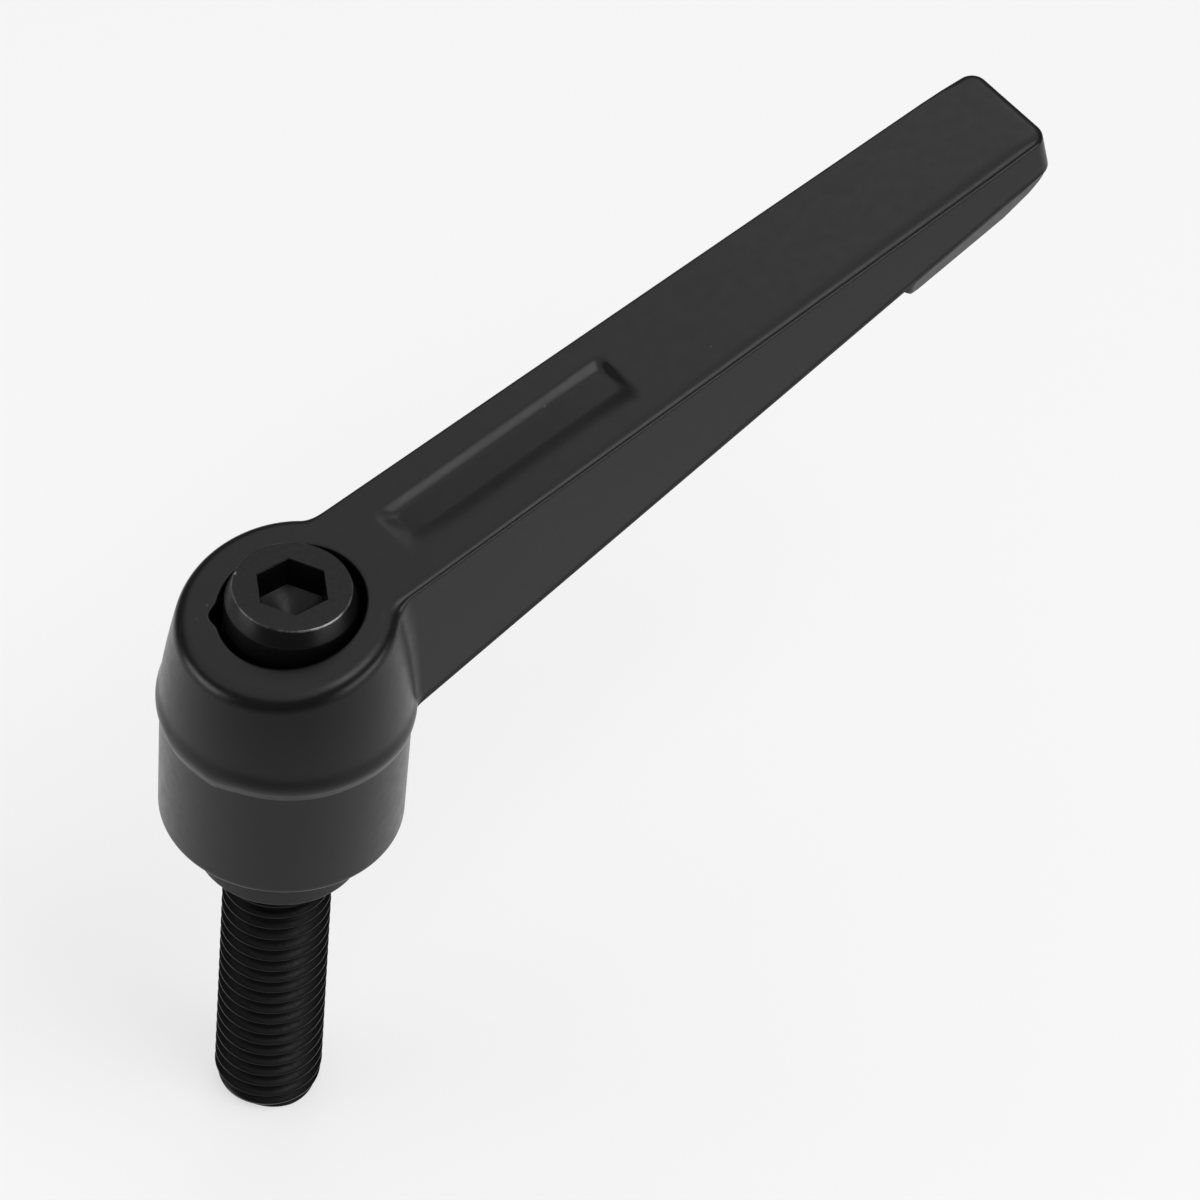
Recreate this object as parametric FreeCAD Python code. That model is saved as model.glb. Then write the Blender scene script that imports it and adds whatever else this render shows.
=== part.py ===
import FreeCAD, Part
import math
import os

# Adjustable clamping lever with an M10 stud. Millimetres, +Z up the stud's axis, +X towards the arm.
# The origin is on the axis, on the seating face under the steel collar.

# Threaded insert: one steel turning with the stud, the collar and the toothed ring.
stud_d = 10.0
stud_len = 32.9
stud_tip_len = 1.8
stud_tip_cut = 0.55
thread_pitch = 1.5
thread_depth = 0.92
thread_flank_deg = 30.0
collar_d = 15.5
collar_chamfer = 0.25
insert_h = 15.0
tooth_count = 24
tooth_depth = 0.75
tooth_len = 4.5
tooth_land = 0.62
groove_floor = 0.3

# Retaining screw: its shoulder sits on the insert, and its bevelled head has a hexagon socket.
screw_thread_d = 8.0
screw_thread_len = 8.5
screw_shoulder_w = 0.75
head_h = 5.8
bevel_h = 1.7
bevel_w = 0.65
hex_af = 6.0
hex_depth = 3.3
hex_turn_deg = -1.2
hex_drill_deg = 30.0

# Spring between the lever's web and the screw head.
spring_wire_d = 1.0
spring_coils = 5.0
spring_end_coils = 0.5
spring_spare = 1.0
wire_facets = 12
coil_steps = 16

# Lever: one zinc casting with the hub, the arm and the grip. Two die halves meet at its parting line.
skirt_bottom_z = 5.5
skirt_d = 22.6
skirt_taper = 0.12
skirt_edge_r = 0.4
parting_step = 0.15
hub_belly = 0.275
hub_belly_h = 1.1
hub_h = 12.47
hub_slope = 0.175
head_proud = 2.48
top_rise = 0.2114
arm_half_w = 6.38
arm_draft = 0.06
arm_blend_r = 3.2
arm_blend_taper = 0.15
arm_end_x = 81.2
arm_end_draft = 0.25
arm_corner_r = 1.6
arm_axis_h = 15.67
arm_end_h = 4.42
top_edge_r = 0.9
under_depth = 0.5
under_draft = 0.12
grip_len = 16.0
grip_depth = 2.65
grip_start_depth = 2.3
grip_edge_r = 1.2
grip_rise_len = 4.2
grip_bend_len = 1.4
grip_bend_depth = 2.2

# Shallow recess in the arm's top.
recess_land = 5.3
recess_len = 25.5
recess_half_w = 3.0
recess_depth = 0.5
recess_wall = 1.1
recess_corner_r = 1.4

# Inside of the lever.
web_t = 1.6
notch_angle_deg = 143.5
notch_r = 0.8
notch_out = 0.55
notch_depth = 4.0

# Clearances.
guide_gap = 0.08
tooth_gap = 0.12
web_gap = 0.1
shank_gap = 0.3
thread_gap = 0.05
tapped_spare = 1.5
lift_spare = 0.5
spring_in_gap = 0.35
spring_out_gap = 0.5
head_gap = 0.65
eps = 0.5

# Sizes that follow from the ones above.
screw_shank_d = screw_thread_d + 2 * screw_shoulder_w
spring_mean_d = screw_shank_d + 2 * spring_in_gap + spring_wire_d
head_bore_d = spring_mean_d + spring_wire_d + 2 * spring_out_gap
head_d = head_bore_d - 2 * head_gap
tooth_z = insert_h - tooth_len
web_z = insert_h + web_gap
spring_z = web_z + web_t
lift_travel = tooth_len + lift_spare
head_under_z = spring_z + (spring_coils + spring_end_coils) * spring_wire_d + lift_travel + spring_spare
head_z = head_under_z + head_h
top_z = head_z - head_proud
parting_z = top_z - hub_h
parting_axis_z = top_z - arm_axis_h
parting_rise = top_rise + (arm_axis_h - arm_end_h) / arm_end_x
hub_base_r = skirt_d / 2 + parting_step
hub_belly_r = hub_base_r + hub_belly
blend_end_x = hub_belly_r + arm_blend_r
grip_start_x = arm_end_x - grip_len
recess_x0 = head_bore_d / 2 + recess_land

up = FreeCAD.Vector(0, 0, 1)
origin = FreeCAD.Vector(0, 0, 0)


def vec(x, y, z=0.0):
    return FreeCAD.Vector(x, y, z)


def polar(r, deg, z=0.0):
    a = math.radians(deg)
    return vec(r * math.cos(a), r * math.sin(a), z)


def cylinder(d, z0, z1):
    return Part.makeCylinder(d / 2, z1 - z0, vec(0, 0, z0))


def prism(points, z0, z1):
    wire = Part.makePolygon([vec(p.x, p.y, z0) for p in points + points[:1]])
    return Part.Face(wire).extrude(vec(0, 0, z1 - z0))


def revolved(points):
    """Turns a closed outline of (radius, height) points about the axis."""
    corners = [vec(r, 0, z) for r, z in points]
    face = Part.Face(Part.makePolygon(corners + corners[:1]))
    return face.revolve(origin, up, 360)


def side_slab(points, half_w):
    """A closed outline in the XZ plane, made as wide as the arm needs."""
    corners = [vec(x, -half_w, z) for x, z in points]
    face = Part.Face(Part.makePolygon(corners + corners[:1]))
    return face.extrude(vec(0, 2 * half_w, 0))


def top_plane_z(x):
    return top_z + top_rise * x


def parting_plane_z(x):
    return parting_axis_z + parting_rise * x


def star(tip_r, root_r, tip_half, root_half):
    """Outline of the toothed ring: each tooth has a flat land of 2 * tip_half at its tip."""
    points = []
    pitch = 360 / tooth_count
    tip_deg = math.degrees(tip_half / tip_r)
    root_deg = math.degrees(root_half / root_r)
    for i in range(tooth_count):
        tooth = i * pitch
        groove = tooth + pitch / 2
        points += [polar(tip_r, tooth - tip_deg), polar(tip_r, tooth + tip_deg)]
        points += [polar(root_r, groove - root_deg), polar(root_r, groove + root_deg)]
    return points


def thread_grooves():
    """Grooves with the thread's pitch and section, as rings: they stand in for its helix."""
    r = stud_d / 2
    crest = thread_pitch / 8
    mouth = (thread_pitch - crest) / 2
    floor = mouth - thread_depth * math.tan(math.radians(thread_flank_deg))
    tip_z = stud_tip_len - stud_len
    grooves = []
    for i in range(int(-tip_z / thread_pitch) + 1):
        z = tip_z - mouth + i * thread_pitch
        grooves.append(revolved([(r - thread_depth, z - floor), (r, z - mouth), (r + eps, z - mouth),
                                 (r + eps, z + mouth), (r, z + mouth), (r - thread_depth, z + floor)]))
    return grooves


def stud():
    r, tip_z = stud_d / 2, stud_tip_len - stud_len
    shank = revolved([(0, 0), (r, 0), (r, tip_z), (r - stud_tip_cut, -stud_len), (0, -stud_len)])
    return shank.cut(thread_grooves())


def threaded_insert():
    r = collar_d / 2
    collar = revolved([(0, 0), (r - collar_chamfer, 0), (r, collar_chamfer), (r, tooth_z), (0, tooth_z)])
    ring = prism(star(r, r - tooth_depth, tooth_land / 2, groove_floor / 2), tooth_z, insert_h)
    hole = cylinder(screw_thread_d + 2 * thread_gap, insert_h - screw_thread_len - tapped_spare, insert_h)
    return stud().fuse([collar, ring]).cut(hole).removeSplitter()


def hexagon(af, deg):
    return [polar(af / math.sqrt(3), deg + 60 * i) for i in range(6)]


def retaining_screw():
    thread_r, shank_r, head_r = screw_thread_d / 2, screw_shank_d / 2, head_d / 2
    end_z = insert_h - screw_thread_len
    profile = [(0, end_z), (thread_r, end_z), (thread_r, insert_h), (shank_r, insert_h),
               (shank_r, head_under_z), (head_r, head_under_z), (head_r, head_z - bevel_h),
               (head_r - bevel_w, head_z), (0, head_z)]
    floor_z = head_z - hex_depth
    socket = prism(hexagon(hex_af, hex_turn_deg), floor_z, head_z + eps)
    drill_h = hex_af / 2 * math.tan(math.radians(hex_drill_deg))
    drill = Part.makeCone(0, hex_af / 2, drill_h, vec(0, 0, floor_z - drill_h))
    return revolved(profile).cut(socket.fuse(drill)).removeSplitter()


def hub_radius(z):
    """The hub is a cone down to its belly, and draws in below it to the parting line."""
    above = z - parting_z - hub_belly_h
    if above > 0:
        return hub_belly_r - hub_slope * above
    return hub_belly_r + hub_belly * above / hub_belly_h


def arm_outline(z):
    """Plan outline of the upper casting at one height: hub circle, blends, arm sides and rounded end."""
    hub_z = min(z, top_plane_z(blend_end_x))
    hub_r = hub_radius(hub_z)
    blend_r = arm_blend_r - arm_blend_taper * (top_z - hub_z)
    half = arm_half_w + arm_draft * (top_z - z)
    end_x = arm_end_x - arm_end_draft * (z - top_plane_z(arm_end_x))
    blend = vec(math.sqrt((hub_r + blend_r) ** 2 - (half + blend_r) ** 2), half + blend_r)
    on_hub = blend * (hub_r / (hub_r + blend_r))
    toward_hub = (on_hub - blend).normalize()
    blend_mid = blend + (toward_hub + vec(0, -1)).normalize() * blend_r
    corner = vec(end_x - arm_corner_r, half - arm_corner_r)
    corner_mid = corner + vec(1, 1).normalize() * arm_corner_r
    side = [on_hub, blend_mid, vec(blend.x, half), vec(corner.x, half), corner_mid, vec(end_x, corner.y)]
    near = [vec(p.x, p.y, z) for p in side]
    far = [vec(p.x, -p.y, z) for p in side]
    return Part.Wire([
        Part.Arc(near[0], vec(-hub_r, 0, z), far[0]).toShape(),
        Part.Arc(far[0], far[1], far[2]).toShape(),
        Part.makeLine(far[2], far[3]),
        Part.Arc(far[3], far[4], far[5]).toShape(),
        Part.makeLine(far[5], near[5]),
        Part.Arc(near[5], near[4], near[3]).toShape(),
        Part.makeLine(near[3], near[2]),
        Part.Arc(near[2], near[1], near[0]).toShape()])


def upper_casting():
    near_x = -2 * hub_belly_r
    far_x = arm_end_x + 2 * hub_belly_r
    levels = [parting_z - eps, parting_z + hub_belly_h, top_plane_z(blend_end_x), top_plane_z(far_x)]
    body = Part.makeLoft([arm_outline(z) for z in levels], True, True)
    knee_x = (parting_z - parting_axis_z) / parting_rise
    keep = side_slab([(near_x, parting_z), (knee_x, parting_z), (far_x, parting_plane_z(far_x)),
                      (far_x, top_plane_z(far_x)), (near_x, top_plane_z(near_x))], 2 * hub_belly_r)
    return rounded_top(body.common(keep))


def rounded_top(body):
    """Rounds the edge all around the sloping top face."""
    rim = []
    for edge in body.Edges:
        points = [edge.valueAt(edge.FirstParameter + f * (edge.LastParameter - edge.FirstParameter))
                  for f in (0, 0.5, 1)]
        if all(abs(p.z - top_plane_z(p.x)) < 0.01 for p in points):
            rim.append(edge)
    return body.makeFillet(top_edge_r, rim)


def lower_side(x, z):
    """Half width of the lower die half, which narrows downwards from the parting plane."""
    split = parting_plane_z(x)
    return arm_half_w + arm_draft * (top_z - split) - under_draft * (split - z)


def lower_casting():
    end_x = arm_end_x + arm_end_draft * arm_end_h
    bend_x = arm_end_x - grip_bend_len
    deep_x = arm_end_x - grip_rise_len
    edge_x = grip_start_x + grip_edge_r
    depths = [(0, 0), (end_x, 0), (bend_x, grip_bend_depth), (deep_x, grip_depth), (edge_x, grip_start_depth),
              (grip_start_x, grip_start_depth - grip_edge_r), (grip_start_x, under_depth), (0, under_depth)]
    outline = [(x, parting_plane_z(x) - depth) for x, depth in depths]
    sections = [lower_outline(0, end_x, z) for z in (skirt_bottom_z, top_plane_z(end_x))]
    return side_slab(outline, 2 * hub_belly_r).common(Part.makeLoft(sections, True, True))


def lower_outline(x0, x1, z):
    """Plan outline of the lower die half at one height, with the rounded corners of the arm's end."""
    a, b, r = lower_side(x0, z), lower_side(x1, z), arm_corner_r
    k = r * (1 - math.sqrt(0.5))
    return Part.Wire([
        Part.makeLine(vec(x0, a, z), vec(x0, -a, z)),
        Part.makeLine(vec(x0, -a, z), vec(x1 - r, -b, z)),
        Part.Arc(vec(x1 - r, -b, z), vec(x1 - k, -b + k, z), vec(x1, -b + r, z)).toShape(),
        Part.makeLine(vec(x1, -b + r, z), vec(x1, b - r, z)),
        Part.Arc(vec(x1, b - r, z), vec(x1 - k, b - k, z), vec(x1 - r, b, z)).toShape(),
        Part.makeLine(vec(x1 - r, b, z), vec(x0, a, z))])


def skirt():
    r0, e, z0 = skirt_d / 2 - skirt_taper, skirt_edge_r, skirt_bottom_z
    k = e * (1 - math.sqrt(0.5))
    edge = [(r0 - e, z0), (r0 - k, z0 + k), (r0, z0 + e)]
    return revolved([(0, z0)] + edge + [(skirt_d / 2, parting_z), (0, parting_z)])


def rounded_rectangle(x0, x1, half, r, z):
    points = [(x0 + r, -half), (x1 - r, -half), (x1, -half + r), (x1, half - r),
              (x1 - r, half), (x0 + r, half), (x0, half - r), (x0, -half + r)]
    p = [vec(x, y, z) for x, y in points]
    k = r * (1 - math.sqrt(0.5))
    mids = [vec(x1 - k, -half + k, z), vec(x1 - k, half - k, z),
            vec(x0 + k, half - k, z), vec(x0 + k, -half + k, z)]
    edges = []
    for i in range(4):
        a, b, c = p[2 * i], p[2 * i + 1], p[(2 * i + 2) % 8]
        edges += [Part.makeLine(a, b), Part.Arc(b, mids[i], c).toShape()]
    return Part.Wire(edges)


def recess():
    """Pocket in the arm's top, drawn flat and then laid on the sloping face."""
    grow = recess_wall * eps / recess_depth
    x0, x1, w, r = recess_x0, recess_x0 + recess_len, recess_half_w, recess_corner_r
    mouth = rounded_rectangle(x0 - grow, x1 + grow, w + grow, r + grow, eps)
    floor_r = r - recess_wall
    floor = rounded_rectangle(x0 + recess_wall, x1 - recess_wall, w - recess_wall, floor_r, -recess_depth)
    pocket = Part.makeLoft([mouth, floor], True, True)
    slope = math.degrees(math.atan(top_rise))
    pocket.rotate(origin, vec(0, 1, 0), -slope)
    pocket.translate(vec(0, 0, top_z))
    return pocket


def lever_hollow():
    """The stepped bore: collar guide, toothed ring, web hole and screw-head bore."""
    r = collar_d / 2
    guide = cylinder(collar_d + 2 * guide_gap, skirt_bottom_z - eps, tooth_z)
    root_r = r - tooth_depth + tooth_gap
    teeth = star(r + guide_gap, root_r, tooth_land / 2 + tooth_gap, (groove_floor - tooth_gap) / 2)
    ring = prism(teeth, tooth_z, web_z)
    shank = cylinder(screw_shank_d + 2 * shank_gap, web_z, spring_z)
    head_r = head_bore_d / 2
    head = cylinder(head_bore_d, spring_z, top_plane_z(hub_belly_r))
    at = polar(head_r + notch_out - notch_r, notch_angle_deg, top_plane_z(-head_r) - notch_depth)
    notch = Part.makeCylinder(notch_r, 2 * notch_depth, at)
    return guide.fuse([ring, shank, head, notch])


def lever():
    casting = upper_casting().fuse([lower_casting(), skirt()])
    return casting.cut(recess()).cut(lever_hollow()).removeSplitter()


def spring():
    """Open coil of round wire in facets, with both ends ground flat on the web and under the screw head."""
    pitch = (head_under_z - spring_z) / spring_coils
    mean_r = spring_mean_d / 2
    start_z = spring_z - pitch * spring_end_coils / 2
    along = vec(0, 1, pitch / (2 * math.pi * mean_r)).normalize()
    outward = vec(1, 0, 0)
    ring = []
    for i in range(wire_facets):
        a = 2 * math.pi * i / wire_facets
        spoke = outward * math.cos(a) + along.cross(outward) * math.sin(a)
        ring.append(vec(mean_r, 0, start_z) + spoke * (spring_wire_d / 2))
    base = Part.makePolygon(ring + ring[:1])
    sections = []
    for i in range(round((spring_coils + spring_end_coils) * coil_steps) + 1):
        section = base.copy()
        section.rotate(origin, up, 360 * i / coil_steps)
        section.translate(up * (pitch * i / coil_steps))
        sections.append(section)
    coil = Part.makeLoft(sections, True, True)
    return coil.common(cylinder(2 * head_bore_d, spring_z, head_under_z))


parts = {
    "threaded_insert": threaded_insert,
    "retaining_screw": retaining_screw,
    "spring": spring,
    "lever": lever,
}

os.makedirs("parts", exist_ok=True)
for name, make in parts.items():
    solid = make().Solids[0]
    solid.exportStep(f"parts/{name}.step")
    print(name, "valid", solid.isValid(), "volume", round(solid.Volume, 1))
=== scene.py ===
import math

import bmesh
import bpy
from mathutils import Matrix, Vector


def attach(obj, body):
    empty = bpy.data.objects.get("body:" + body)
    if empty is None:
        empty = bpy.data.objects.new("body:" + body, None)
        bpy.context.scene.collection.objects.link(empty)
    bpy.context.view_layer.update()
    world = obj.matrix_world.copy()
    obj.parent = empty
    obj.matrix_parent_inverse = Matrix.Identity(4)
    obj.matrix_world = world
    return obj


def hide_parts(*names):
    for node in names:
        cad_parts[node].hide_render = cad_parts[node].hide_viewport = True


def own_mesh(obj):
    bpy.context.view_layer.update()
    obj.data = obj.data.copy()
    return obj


# Adjustable clamping lever: black die-cast handle on a steel insert with an M10 stud.
# Sizes in the dictionaries are millimetres; they become metres where a mesh is placed.

mm = 0.001
hair = 0.01  # between two rings where a wall steps flat

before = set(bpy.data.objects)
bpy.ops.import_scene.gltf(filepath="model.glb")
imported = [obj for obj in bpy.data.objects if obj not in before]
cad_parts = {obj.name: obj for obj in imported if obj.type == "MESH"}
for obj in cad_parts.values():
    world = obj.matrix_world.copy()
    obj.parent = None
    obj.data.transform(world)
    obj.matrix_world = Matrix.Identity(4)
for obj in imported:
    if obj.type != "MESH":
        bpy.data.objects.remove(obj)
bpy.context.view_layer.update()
print("frame loaded:", sorted(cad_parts))


# small helpers for edit mode

def nothingSelected():
    if bpy.context.mode != "OBJECT":
        bpy.ops.object.mode_set(mode="OBJECT")
    for other in bpy.context.selected_objects:
        other.select_set(False)


def edit(piece, mode="VERT"):
    nothingSelected()
    bpy.context.view_layer.objects.active = piece
    piece.select_set(True)
    bpy.ops.object.mode_set(mode="EDIT")
    bpy.ops.mesh.select_mode(type=mode)
    bpy.ops.mesh.select_all(action="DESELECT")
    return bmesh.from_edit_mesh(piece.data)


def doneEditing():
    bpy.ops.object.mode_set(mode="OBJECT")


def useModifier(piece, kind, **settings):
    nothingSelected()
    bpy.context.view_layer.objects.active = piece
    piece.select_set(True)
    bpy.ops.object.modifier_add(type=kind)
    modifier = piece.modifiers[-1]
    for key, value in settings.items():
        setattr(modifier, key, value)
    bpy.ops.object.modifier_apply(modifier=modifier.name)


def combine(piece, other, how):
    useModifier(piece, "BOOLEAN", operation=how, object=other, solver="EXACT")
    bpy.data.objects.remove(other)


def mergeAndFaceOut(piece, gap=0.0005):
    edit(piece)
    bpy.ops.mesh.select_all(action="SELECT")
    bpy.ops.mesh.remove_doubles(threshold=gap * mm)
    bpy.ops.mesh.normals_make_consistent(inside=False)
    doneEditing()


def smooth(piece, degrees):
    nothingSelected()
    bpy.context.view_layer.objects.active = piece
    piece.select_set(True)
    bpy.ops.object.shade_smooth_by_angle(angle=math.radians(degrees))
    useModifier(piece, "WEIGHTED_NORMAL", keep_sharp=True, weight=50)


def newRing(name, places):  # a circle with its corners moved onto the places, left in edit mode
    nothingSelected()
    bpy.ops.mesh.primitive_circle_add(vertices=len(places), radius=1 * mm)
    piece = bpy.context.object
    piece.name = name
    bm = edit(piece)
    bm.verts.ensure_lookup_table()
    for corner, place in zip(bm.verts, places):
        corner.co = Vector(place) * mm
        corner.select = True
    bm.select_flush(True)
    bmesh.update_edit_mesh(piece.data)
    return piece, list(range(len(places)))


def addRing(piece, places):  # another loose circle in the mesh that is being edited
    bpy.ops.mesh.select_all(action="DESELECT")
    bpy.ops.mesh.primitive_circle_add(vertices=len(places), radius=1 * mm)
    bm = bmesh.from_edit_mesh(piece.data)
    fresh = [corner for corner in bm.verts if corner.select]
    for corner, place in zip(fresh, places):
        corner.co = Vector(place) * mm
    bm.verts.index_update()
    bmesh.update_edit_mesh(piece.data)
    return [corner.index for corner in fresh]


def selectOnly(piece, indices):
    bpy.ops.mesh.select_all(action="DESELECT")
    bm = bmesh.from_edit_mesh(piece.data)
    bm.verts.ensure_lookup_table()
    for index in indices:
        bm.verts[index].select = True
    bm.select_flush(True)
    return bm


def growRing(piece, ring, places):  # extrudes a ring and moves its new corners onto the places
    bm = selectOnly(piece, ring)
    bpy.ops.mesh.extrude_edges_move()
    bm = bmesh.from_edit_mesh(piece.data)
    bm.verts.index_update()
    bm.verts.ensure_lookup_table()
    fresh = []
    for index, place in zip(ring, places):
        corner = next(edge.other_vert(bm.verts[index]) for edge in bm.verts[index].link_edges
                      if edge.other_vert(bm.verts[index]).select)
        corner.co = Vector(place) * mm
        fresh.append(corner.index)
    bmesh.update_edit_mesh(piece.data)
    return fresh


def fillRings(piece, rings):
    selectOnly(piece, [index for ring in rings for index in ring])
    bpy.ops.mesh.fill(use_beauty=True)


def stackRings(name, rows):  # a tube through all the rows, left in edit mode
    piece, first = newRing(name, rows[0])
    ring = first
    for places in rows[1:]:
        ring = growRing(piece, ring, places)
    return piece, first, ring


def closeEnds(piece, *rings):
    for ring in rings:
        fillRings(piece, [ring])
    doneEditing()
    mergeAndFaceOut(piece)


def cutFlat(piece, place, normal, above=True, threshold=1e-7):  # cuts away one side and closes the cut
    edit(piece)
    bpy.ops.mesh.select_all(action="SELECT")
    bpy.ops.mesh.bisect(plane_co=place * mm, plane_no=normal, use_fill=True, clear_outer=above,
                        clear_inner=not above, threshold=threshold)
    doneEditing()


def closeToPoint(piece, ring, place):
    tip = growRing(piece, ring, [place] * len(ring))
    selectOnly(piece, tip)
    bpy.ops.mesh.merge(type="CENTER")


def circlePlaces(count, radius, z, turn=0.0):
    return [(radius * math.cos(2 * math.pi * i / count + turn),
             radius * math.sin(2 * math.pi * i / count + turn), z) for i in range(count)]


def ringAt(angles, radius, z):
    return [(radius * math.cos(a), radius * math.sin(a), z) for a in angles]


def toothedRing(z, count, crown, groove):  # the crowns and the grooves each as (radius, half of the flat)
    places = []
    for i in range(count):
        middle = 2 * math.pi * i / count
        for (r, half), a in ((crown, middle), (groove, middle + math.pi / count)):
            places += ringAt((a - half / r, a, a + half / r), r, z)
    return places


def mix(a, b, t):
    return a + (b - a) * t


def ease(t):
    t = min(1.0, max(0.0, t))
    return t * t * (3 - 2 * t)


# the casting: hub, arm and grip

casting = {
    "partingZ": 19.05, "rimR": 11.7, "slope": 0.11, "curve": 0.005, "topZ": 31.52, "topRise": 0.2114,
    "halfW": 6.38, "draft": 0.06, "blendR": 3.2, "blendTaper": 0.15, "endX": 81.2, "endDraft": 0.25,
    "cornerR": 1.6, "axisH": 15.67, "endH": 4.42, "hubNear": (1.6, 1.5), "hubFar": (1.0, 1.0),
    "armNear": (0.6, 1.0), "armTip": (0.75, 1.7), "armFar": (0.3, 0.35), "tip": (0.7, 1.03),
    "fullAt": 0.85, "tipFrom": 0.95, "wallRows": (0.2, 0.4, 0.6, 0.8), "wallGuard": 0.05, "guard": 0.06,
    "armFoot": (0.15, 0.25, 0.055), "lipOut": (-0.04, 0.05, 0.1, 0.1, 0.085, 0.04, 0.01),
    "hubSteps": 64, "blendSteps": 16, "sideSteps": 30, "cornerSteps": 10, "endSteps": 4, "edgeSteps": 10,
}
casting["splitZ"] = casting["topZ"] - casting["axisH"]
casting["splitRise"] = casting["topRise"] + (casting["axisH"] - casting["endH"]) / casting["endX"]

# the hub's wall at the parting line, as (height, radius): a hollow flare over a rim that turns in below
hubFoot = ((-0.7, 11.302), (-0.5, 11.345), (-0.35, 11.4), (-0.18, 11.477), (-0.01, 11.55), (0.15, 11.607),
           (0.35, 11.653), (0.55, 11.678), (0.75, 11.685), (0.95, 11.672), (1.15, 11.645), (1.5, 11.555),
           (1.85, 11.46), (2.15, 11.4), (2.45, 11.355), (2.85, 11.31))


def topZ(x):
    return casting["topZ"] + casting["topRise"] * x


def splitZ(x):
    return casting["splitZ"] + casting["splitRise"] * x


def bottomZ(x):
    return max(casting["partingZ"], splitZ(x))


def hubRadius(z):
    above = z - casting["partingZ"]
    for (low, lowR), (high, highR) in zip(hubFoot, hubFoot[1:]):
        if above < high:
            return mix(lowR, highR, max(0.0, (above - low) / (high - low)))
    above -= hubFoot[-1][0]
    return hubFoot[-1][1] - casting["slope"] * above - casting["curve"] * above ** 2


def planPlace(column, z):  # where one column of the casting's wall stands at a height
    kind, t, side = column
    c = casting
    hubZ = min(z, topZ(c["rimR"] + c["blendR"]))
    hubR = hubRadius(hubZ)
    blendR = c["blendR"] - c["blendTaper"] * (c["topZ"] - hubZ)
    half = c["halfW"] + c["draft"] * (c["topZ"] - z)
    endX = c["endX"] - c["endDraft"] * (z - topZ(c["endX"]))
    blendX = math.sqrt((hubR + blendR) ** 2 - (half + blendR) ** 2)
    meet = math.atan2(half + blendR, blendX)
    if kind == "hub":
        a = mix(math.pi, meet, t)
        x, y = hubR * math.cos(a), hubR * math.sin(a)
    elif kind == "blend":
        a = mix(meet + math.pi, 1.5 * math.pi, t)
        x, y = blendX + blendR * math.cos(a), half + blendR + blendR * math.sin(a)
    elif kind == "side":
        x, y = mix(blendX, endX - c["cornerR"], t), half
    elif kind == "corner":
        a = mix(math.pi / 2, 0, t)
        x, y = endX - c["cornerR"] * (1 - math.cos(a)), half - c["cornerR"] * (1 - math.sin(a))
    else:
        x, y = endX, mix(half - c["cornerR"], 0, t)
    return x, y * side


def columnPlace(column, height):  # height is a function of x, so the place is found in a few rounds
    x, y = 0.0, 0.0
    for _ in range(5):
        z = height(x)
        x, y = planPlace(column, z)
    return Vector((x, y, height(x)))


def castingColumns():
    c = casting
    half = []
    for kind in ("hub", "blend", "side", "corner", "end"):
        steps = c[kind + "Steps"]
        half += [(kind, i / steps) for i in range(steps)]
    half.append(("end", 1.0))
    far = [(kind, t, 1) for kind, t in half]
    near = [(kind, t, -1) for kind, t in reversed(half[1:-1])]
    return far + near


# the parting line isn't quite level round the hub: (degrees round the axis, rise over its mean height)
parting = ((60, 0.0), (130, -0.1), (157, -0.2), (165, -0.25), (172, -0.5), (180, -0.42), (188, -0.35),
           (198, -0.5), (205, -0.22), (211, 0.0), (222, 0.03), (240, 0.06), (268, 0.15), (285, -0.02),
           (300, -0.25), (322, 0.0))


def partingWave(x, y):
    deg = math.degrees(math.atan2(y, x)) % 360
    for (low, rise), (high, nextRise) in zip(parting, parting[1:]):
        if low <= deg <= high:
            return mix(rise, nextRise, ease((deg - low) / (high - low)))
    return 0.0


def edgeReach(column):  # how far the top edge's rounding goes down the wall and in over the top
    kind, t, side = column
    c = casting
    hub, arm, armTip = c["hubFar"], c["armFar"], c["armFar"]
    if side < 0:
        hub, arm, armTip = c["hubNear"], c["armNear"], c["armTip"]
    between = [mix(a, b, 0.5) for a, b in zip(c["hubNear"], c["hubFar"])]
    hub = [mix(a, b, ease(t * 2) if kind == "hub" else 1.0) for a, b in zip(between, hub)]
    if kind == "hub":
        return hub
    if kind == "blend":
        return [mix(a, b, ease(t)) for a, b in zip(hub, arm)]
    if kind == "side":
        along = [mix(a, b, ease(t / c["fullAt"])) for a, b in zip(arm, armTip)]
        return [mix(a, b, ease((t - c["tipFrom"]) / (1 - c["tipFrom"]))) for a, b in zip(along, c["tip"])]
    return c["tip"]


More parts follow.
